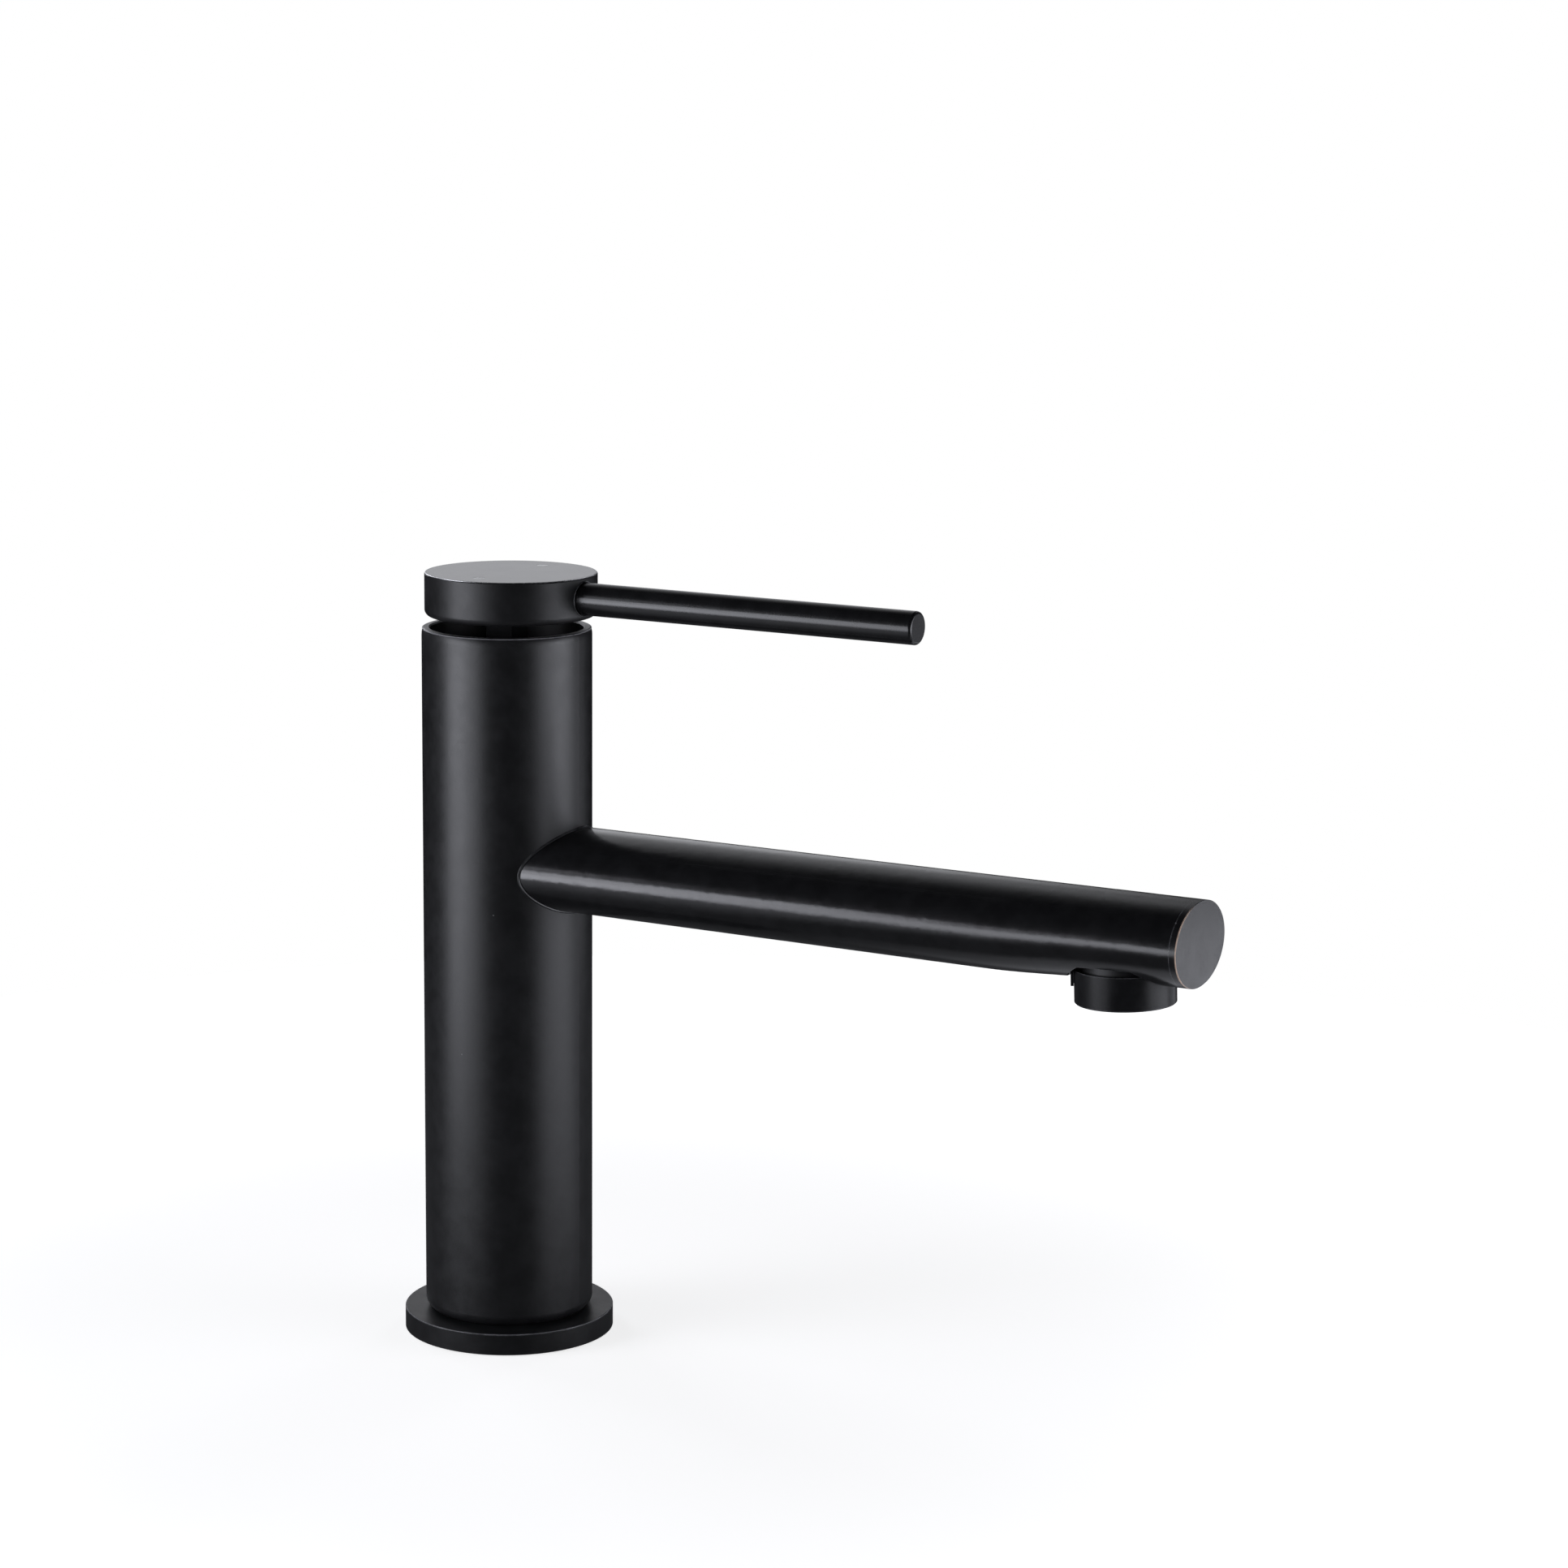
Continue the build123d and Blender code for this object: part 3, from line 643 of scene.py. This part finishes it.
class MIXER_OT_spout_seam(bpy.types.Operator):
    """Lays the fine bead where the spout meets the body"""
    bl_idname = "mixer.spout_seam"
    bl_label = "Spout seam"

    def execute(self, context):
        detail = context.scene.mixer_detail
        tube = frame["nodes"]["spout_tube"].data
        root = [point.co.z for point in tube.vertices if point.co.x < SPOUT_BOX[0].x + ROOT_BAND]
        low, high = min(root), max(root)
        bead = bead_on(
            "mixer_body", BODY_R + SEAM_START, SPOUT_BOX[1].y + detail.seam_room - SEAM_TUCK,
            (high - low) / 2 + detail.seam_room, (high + low) / 2, detail.seam_radius)
        settle(bead, "spout_seam", "fixed_body", "black_spout")
        return {"FINISHED"}


class MIXER_OT_lever_rim(bpy.types.Operator):
    """Lays the fine bead around the lever's hole in the cap"""
    bl_idname = "mixer.lever_rim"
    bl_label = "Lever rim"

    def execute(self, context):
        detail = context.scene.mixer_detail
        radius = LEVER_BOX[1].y + detail.rim_room
        height = (LEVER_BOX[0].z + LEVER_BOX[1].z) / 2
        bead = bead_on("handle_cap", CAP_BOX[1].x + RIM_START, radius, radius, height,
                       detail.rim_radius, points=64)
        settle(bead, "lever_rim", "handle", "black_lever")
        return {"FINISHED"}


class MIXER_OT_edge_lines(bpy.types.Operator):
    """Lays thin pale beads along the round edges, as painted highlight lines"""
    bl_idname = "mixer.edge_lines"
    bl_label = "Edge lines"

    def execute(self, context):
        bead_radius = context.scene.mixer_detail.edge_radius
        body = frame["nodes"]["mixer_body"].data
        rim = [point.co.xy.length for point in body.vertices if point.co.z > BODY_TOP - MOUTH_BAND]
        cap_middle = (CAP_BOX[0].x + CAP_BOX[1].x) / 2
        cap_radius = (CAP_BOX[1].y - CAP_BOX[0].y) / 2
        edges = {  # middle along X, radius and height of each edge
            "cap_edge": (cap_middle, cap_radius, CAP_BOX[1].z),
            "mouth_edge": (0, BODY_R, BODY_TOP),
            "bore_edge": (0, min(rim), BODY_TOP),
            "flange_edge": (0, FLANGE_BOX[1].y, FLANGE_BOX[1].z),
        }
        for name, body_name, inset, depth, material in HIGHLIGHT_EDGES:
            middle, radius, height = edges[name]
            deselect()
            bpy.ops.mesh.primitive_circle_add(
                vertices=ROUND_POINTS, radius=radius - inset, location=(middle, 0, height - depth))
            settle(round_bead(bead_radius), name, body_name, material)
        return {"FINISHED"}


class MIXER_OT_colour_marks(bpy.types.Operator):
    """Models the two small domed marks on the cap"""
    bl_idname = "mixer.colour_marks"
    bl_label = "Colour marks"

    def execute(self, context):
        detail = context.scene.mixer_detail
        for node in ("hot_dot", "cold_dot"):
            low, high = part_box(node)
            radius = (high.y - low.y) / 2
            deselect()
            bpy.ops.mesh.primitive_cylinder_add(
                vertices=MARK_POINTS, radius=radius, depth=high.z - low.z - detail.inlay_dome,
                location=((low.x + high.x) / 2, (low.y + high.y) / 2,
                          (low.z + high.z - detail.inlay_dome) / 2))
            mark = bpy.context.object
            bpy.ops.object.transform_apply(location=True)
            select_faces(mark, lambda normal: normal.z > FACES_UP)
            for step in range(DOME_STEPS):
                start, end = (count / DOME_STEPS * math.pi / 2 for count in (step, step + 1))
                rise = math.sin(end) - math.sin(start)
                shrink = math.cos(start) - math.cos(end)
                bpy.ops.mesh.inset(thickness=DOME_REACH * radius * shrink, depth=0)
                bpy.ops.transform.translate(value=(0, 0, detail.inlay_dome * rise))
            finish_mesh(limit_degrees=50)
            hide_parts(node)
            settle(mark, node.replace("dot", "mark"), "handle", "pale_inlay")
        return {"FINISHED"}


def thread_turns(name, axis_x, axis_y, radius, depth, pitch, crest):
    """The ridge of an inside thread in an upright hole, from just above the face upwards."""
    deselect()
    bpy.ops.mesh.primitive_circle_add(
        vertices=3, radius=crest, location=(radius, 0, THREAD_START * pitch),
        rotation=(math.pi / 2, -math.pi / 2, 0))
    ridge = bpy.context.object
    bpy.ops.object.transform_apply(location=True, rotation=True, scale=True)
    screw = ridge.modifiers.new("turns", "SCREW")
    screw.steps = TURN_STEPS
    screw.render_steps = TURN_STEPS
    screw.iterations = int(depth / pitch) - THREAD_SHORTER
    screw.screw_offset = pitch
    bpy.ops.object.modifier_apply(modifier="turns")
    merge_doubles()
    bpy.ops.mesh.select_mode(type="EDGE")
    bpy.ops.mesh.select_all(action="DESELECT")
    bpy.ops.mesh.select_non_manifold()
    bpy.ops.mesh.edge_face_add()
    bpy.ops.object.mode_set(mode="OBJECT")
    finish_mesh(limit_degrees=20)
    ridge.location = (axis_x, axis_y, 0)
    settle(ridge, name, "fixed_body", "turned_brass")


class MIXER_OT_base_threads(bpy.types.Operator):
    """Cuts the look of a thread into the hose sockets and the stud hole"""
    bl_idname = "mixer.base_threads"
    bl_label = "Base threads"

    def execute(self, context):
        detail = context.scene.mixer_detail
        for hole in frame["record"]["mounts"]:
            if hole["kind"] != "threaded_hole":
                continue
            axis_x, axis_y, _ = hole["pos_m"]
            thread_turns(hole["name"] + "_thread", axis_x, axis_y, hole["dims"]["r_mm"] * MM,
                         hole["dims"]["length_mm"] * MM, detail.thread_pitch, detail.thread_depth)
        return {"FINISHED"}


# ---- Stage ----
SENSOR_WIDTH = 36  # mm, the camera's unit for it
CAMERA_SHIFT = (0.0327, -0.0036)  # of the view's middle, in widths of the view
# Each soft light: name, bearing from the camera and width in degrees, its lowest and highest
# edge, and its radiance.
SOFT_LIGHTS = (
    ("left_low", -63, 48, -0.12, -0.02, 2.6),
    ("left_middle", -62, 50, -0.02, 0.20, 3.7),
    ("left_core", -70, 22, -0.08, 0.24, 2.9),
    ("left_high", -70, 36, 0.20, 0.36, 5.2),
    ("left_top", -84, 36, 0.36, 0.60, 2.6),
    ("right_low", 70, 48, -0.06, 0.04, 4.0),
    ("right_middle", 68, 60, 0.04, 0.20, 2.9),
    ("right_core", 74, 24, 0.04, 0.20, 2.9),
    ("right_high", 74, 48, 0.20, 0.35, 2.6),
    ("right_under", 60, 48, -0.35, -0.10, 0.7),
    ("end_fill", 114, 22, -0.24, -0.04, 1.4),
    ("end_side", 112, 22, -0.02, 0.16, 0.35),
    ("back_right", 149, 11, 0.32, 0.55, 2.0),
    ("back_left", 205, 13, 0.30, 0.55, 4.0),
    ("back_right_top", 142, 13, 0.55, 1.00, 1.2),
    ("back_left_top", 220, 13, 0.55, 1.00, 2.5),
)
LIGHT_TINT = (0.905, 0.922, 1.0)
BASE_LIGHT_WIDTH = 1.4
BASE_LIGHT_DEPTH = 0.45  # below the foot
# The white wall that reflections show behind the object, and the white ceiling above it. Heights
# are the Z of a direction.
WALL_TURN = math.radians(10)
WALL_SIDES = (-0.925, -0.98)  # cosine from straight ahead where the wall starts and is full
WALL_FOOT = (0.02, 0.08)  # heights where it starts and is full
WALL_HEAD = (0.40, 0.28)  # heights where it is down to the ceiling's white, and starts to fade
CEILING_HEAD = (0.9, 0.5)  # heights where the ceiling is black, and starts to fade
CEILING_WHITE = 0.56
WALL_TINT = (0.945, 0.955, 1)
# The floor: its middle, its hole and what it shows. Distances are from the body's axis.
FLOOR_MIDDLE = Vector((0.05, 0, -0.3 * MM))
FLOOR_HOLE_INSET = 4 * MM  # from the flange's edge
FLOOR_SHADE = 0.8  # of the matt part that takes the shadow
FLOOR_DISTANCES = (0.1, 0.36)  # where the floor's own white starts to rise and is full
FLOOR_WHITES = (0.77, 1.0)  # that white at those distances
BOUNCE_SHADE = 0.06  # of the floor in the light that it sends on
BOUNCE_GLOW = 0.06  # painted glow of the floor in reflections, away from its painted glows
GLOW_SECTOR = (0.75, 0.95)  # cosine from a painted glow's bearing where it starts and is full
# Each painted glow on the floor, seen only in reflections: bearing from the camera in degrees,
# distances where it starts and is full, glow.
PAINTED_GLOWS = (
    (-62, 0.04, 0.26, 0.5),
    (70, 0.02, 0.20, 0.75),
)


def area_lamp(name, width, height, radiance, place):
    """A lamp of an even radiance, which the camera doesn't see."""
    data = bpy.data.lights.new(name, "AREA")
    data.shape = "RECTANGLE"
    data.size = width
    data.size_y = height
    data.energy = radiance * math.pi * data.size * data.size_y
    data.color = LIGHT_TINT
    lamp = bpy.data.objects.new(name, data)
    bpy.context.scene.collection.objects.link(lamp)
    lamp.matrix_world = place
    lamp.visible_camera = False


def soft_light(stage, bearing, name, from_camera, width_degrees, low, high, radiance):
    """An upright lamp on a circle about the body's axis, facing that axis."""
    distance = stage.light_distance
    width = 2 * distance * math.tan(math.radians(width_degrees / 2))
    turn = bearing + math.radians(from_camera)
    place = Vector((distance * math.cos(turn), distance * math.sin(turn), 0))
    facing = (-place).to_track_quat("-Z", "Y").to_matrix().to_4x4()
    raised = Matrix.Translation(place + Vector((0, 0, (low + high) / 2)))
    area_lamp(name, width, high - low, radiance, raised @ facing)


def base_light(stage):
    """A level lamp below the floor, which reaches only the underside of the base."""
    place = Matrix.Translation((0, 0, -BASE_LIGHT_DEPTH)) @ Matrix.Rotation(math.pi, 4, "X")
    area_lamp("base_light", BASE_LIGHT_WIDTH, BASE_LIGHT_WIDTH, stage.base_radiance, place)


def make_camera(stage):
    """The camera, and a view transform that leaves the colours as they are."""
    data = bpy.data.cameras.new("camera")
    camera = bpy.data.objects.new("camera", data)
    bpy.context.scene.collection.objects.link(camera)
    tilt = Euler((math.pi / 2 - stage.camera_pitch, 0, stage.camera_azimuth)).to_matrix()
    turn = tilt @ Matrix.Rotation(stage.camera_roll, 3, "Z")
    camera.matrix_world = Matrix.Translation(stage.camera_place) @ turn.to_4x4()
    data.lens = stage.lens
    data.sensor_width = SENSOR_WIDTH
    data.shift_x, data.shift_y = CAMERA_SHIFT
    bpy.context.scene.camera = camera
    bpy.context.scene.view_settings.view_transform = "Standard"


def ray_kinds(tree):
    """Two values that are 1 for a ray from the camera, and for a mirrored or passed-on one."""
    path = add(tree, "ShaderNodeLightPath").outputs
    sent_on = maths(tree, "MAXIMUM", path["Is Glossy Ray"], path["Is Transmission Ray"])
    return path["Is Camera Ray"], sent_on


def make_surroundings(bearing):
    """White to the camera; in reflections white only behind the object, and dark in front."""
    world = bpy.data.worlds.new("surroundings")
    bpy.context.scene.world = world
    world.use_nodes = True
    tree = world.node_tree
    tree.nodes.clear()
    out = add(tree, "ShaderNodeOutputWorld")
    from_camera, sent_on = ray_kinds(tree)
    turned = add(tree, "ShaderNodeMapping")
    put(tree, turned, Vector=add(tree, "ShaderNodeTexCoord").outputs["Generated"],
        Rotation=(0, 0, -bearing - WALL_TURN))
    parts = parts_of(tree, turned.outputs["Vector"])
    level = maths(tree, "SQRT", maths(tree, "SUBTRACT", 1.0, maths(tree, "POWER", parts["Z"], 2.0)))
    ahead = maths(tree, "DIVIDE", parts["X"], maths(tree, "MAXIMUM", level, 0.001))
    behind = ramp(tree, ahead, *WALL_SIDES)
    above = ramp(tree, parts["Z"], *WALL_FOOT)
    lower = ramp(tree, parts["Z"], *WALL_HEAD, 0.0, 1 - CEILING_WHITE)
    ceiling = ramp(tree, parts["Z"], *CEILING_HEAD, 0.0, CEILING_WHITE)
    height = maths(tree, "MULTIPLY", above, maths(tree, "ADD", lower, ceiling))
    reflected = maths(tree, "MULTIPLY", maths(tree, "MULTIPLY", behind, height), sent_on)
    white = maths(tree, "MAXIMUM", from_camera, reflected)
    tint = mix_colour(tree, from_camera, rgba(WALL_TINT), (1, 1, 1, 1))
    sky = add(tree, "ShaderNodeBackground")
    put(tree, sky, Color=tint, Strength=white)
    tree.links.new(sky.outputs["Background"], out.inputs["Surface"])


def painted_glow(tree, place, distance, bearing, near, full, glow):
    """How bright one painted glow on the floor looks in reflections."""
    towards = (math.cos(bearing), math.sin(bearing), 0)
    along = vector_maths(tree, "DOT_PRODUCT", "Value", place, towards)
    cosine = maths(tree, "DIVIDE", along, maths(tree, "MAXIMUM", distance, MM))
    sector = ramp(tree, cosine, *GLOW_SECTOR)
    return maths(tree, "MULTIPLY", sector, ramp(tree, distance, near, full, 0.0, glow))


def floor_finish(bearing):
    """White with a soft shadow to the camera, with painted glows in reflections, and clear from
    below.
    """
    material, tree = new_tree("pale_floor")
    from_camera, sent_on = ray_kinds(tree)
    place = add(tree, "ShaderNodeTexCoord").outputs["Object"]
    distance = vector_maths(tree, "LENGTH", "Value", place)
    own_white = add(tree, "ShaderNodeEmission")
    put(tree, own_white, Strength=ramp(tree, distance, *FLOOR_DISTANCES, *FLOOR_WHITES))
    matt = add(tree, "ShaderNodeBsdfDiffuse")
    put(tree, matt, Color=rgba([FLOOR_SHADE] * 3))
    both = add(tree, "ShaderNodeAddShader")
    tree.links.new(own_white.outputs["Emission"], both.inputs[0])
    tree.links.new(matt.outputs["BSDF"], both.inputs[1])
    glows = [painted_glow(tree, place, distance, bearing + math.radians(turn), near, full, glow)
           for turn, near, full, glow in PAINTED_GLOWS]
    # Painted reflection: the floor glows in reflections, brightest in the parts towards the lamps
    painted_floor_glow = add(tree, "ShaderNodeEmission")
    put(tree, painted_floor_glow, Color=rgba(LIGHT_TINT),
        Strength=maths(tree, "ADD", BOUNCE_GLOW, maths(tree, "ADD", *glows)))
    dim = add(tree, "ShaderNodeBsdfDiffuse")
    put(tree, dim, Color=rgba([BOUNCE_SHADE] * 3))
    bounced = mix_surfaces(tree, sent_on, dim.outputs["BSDF"], painted_floor_glow.outputs["Emission"])
    shown = mix_surfaces(tree, from_camera, bounced, both.outputs["Shader"])
    from_below = add(tree, "ShaderNodeNewGeometry").outputs["Backfacing"]
    clear = add(tree, "ShaderNodeBsdfTransparent").outputs["BSDF"]
    out = add(tree, "ShaderNodeOutputMaterial")
    tree.links.new(mix_surfaces(tree, from_below, shown, clear), out.inputs["Surface"])
    return material


def make_floor(stage, bearing):
    """A pale disc that is open under the flange."""
    deselect()
    bpy.ops.mesh.primitive_circle_add(
        vertices=ROUND_POINTS, radius=stage.floor_radius, location=FLOOR_MIDDLE)
    floor = bpy.context.object
    bpy.ops.object.mode_set(mode="EDIT")
    bpy.ops.mesh.primitive_circle_add(
        vertices=ROUND_POINTS, radius=FLANGE_BOX[1].y - FLOOR_HOLE_INSET,
        location=(0, 0, FLOOR_MIDDLE.z))
    bpy.ops.mesh.select_all(action="SELECT")
    bpy.ops.mesh.bridge_edge_loops()
    bpy.ops.object.mode_set(mode="OBJECT")
    if floor.data.polygons[0].normal.z < 0:
        floor.data.flip_normals()
    make_active(floor)
    bpy.ops.object.transform_apply(location=True)
    floor.name = "floor"
    give_material(floor, floor_finish(bearing))


class MIXER_OT_stage(bpy.types.Operator):
    """Adds the camera, the pale floor, the soft lights and the white surroundings"""
    bl_idname = "mixer.stage"
    bl_label = "Stage"

    def execute(self, context):
        stage = context.scene.mixer_stage
        make_camera(stage)
        bearing = math.atan2(stage.camera_place[1], stage.camera_place[0])
        for light in SOFT_LIGHTS:
            soft_light(stage, bearing, *light)
        base_light(stage)
        make_surroundings(bearing)
        make_floor(stage, bearing)
        return {"FINISHED"}


class MIXER_PT_panel(bpy.types.Panel):
    """Lists the steps and the sizes they use"""
    bl_idname = "MIXER_PT_panel"
    bl_label = "Basin Mixer"
    bl_space_type = "VIEW_3D"
    bl_region_type = "UI"
    bl_category = "Basin Mixer"

    def draw(self, context):
        layout = self.layout
        for group in SETTINGS:
            settings = getattr(context.scene, group)
            column = layout.column()
            for name in settings.bl_rna.properties.keys():
                if name not in ("rna_type", "name"):
                    column.prop(settings, name)
        for step in OPERATORS:
            layout.operator(step.bl_idname)


OPERATORS = (MIXER_OT_stage, MIXER_OT_finishes, MIXER_OT_spout_seam, MIXER_OT_lever_rim,
             MIXER_OT_edge_lines, MIXER_OT_colour_marks, MIXER_OT_base_threads)
CLASSES = (MixerFinish, MixerDetail, MixerStage, *OPERATORS, MIXER_PT_panel)
SETTINGS = {"mixer_stage": MixerStage, "mixer_finish": MixerFinish, "mixer_detail": MixerDetail}


def register():
    """Makes the steps, the panel and the settings known to Blender."""
    for cls in CLASSES:
        bpy.utils.register_class(cls)
    for name, group in SETTINGS.items():
        setattr(bpy.types.Scene, name, bpy.props.PointerProperty(type=group))


def unregister():
    """Takes them away again."""
    for name in SETTINGS:
        delattr(bpy.types.Scene, name)
    for cls in reversed(CLASSES):
        bpy.utils.unregister_class(cls)


def main():
    """Runs every step in order."""
    register()
    bpy.ops.mixer.stage()
    bpy.ops.mixer.finishes()
    bpy.ops.mixer.spout_seam()
    bpy.ops.mixer.lever_rim()
    bpy.ops.mixer.edge_lines()
    bpy.ops.mixer.colour_marks()
    bpy.ops.mixer.base_threads()


if __name__ == "__main__":
    main()
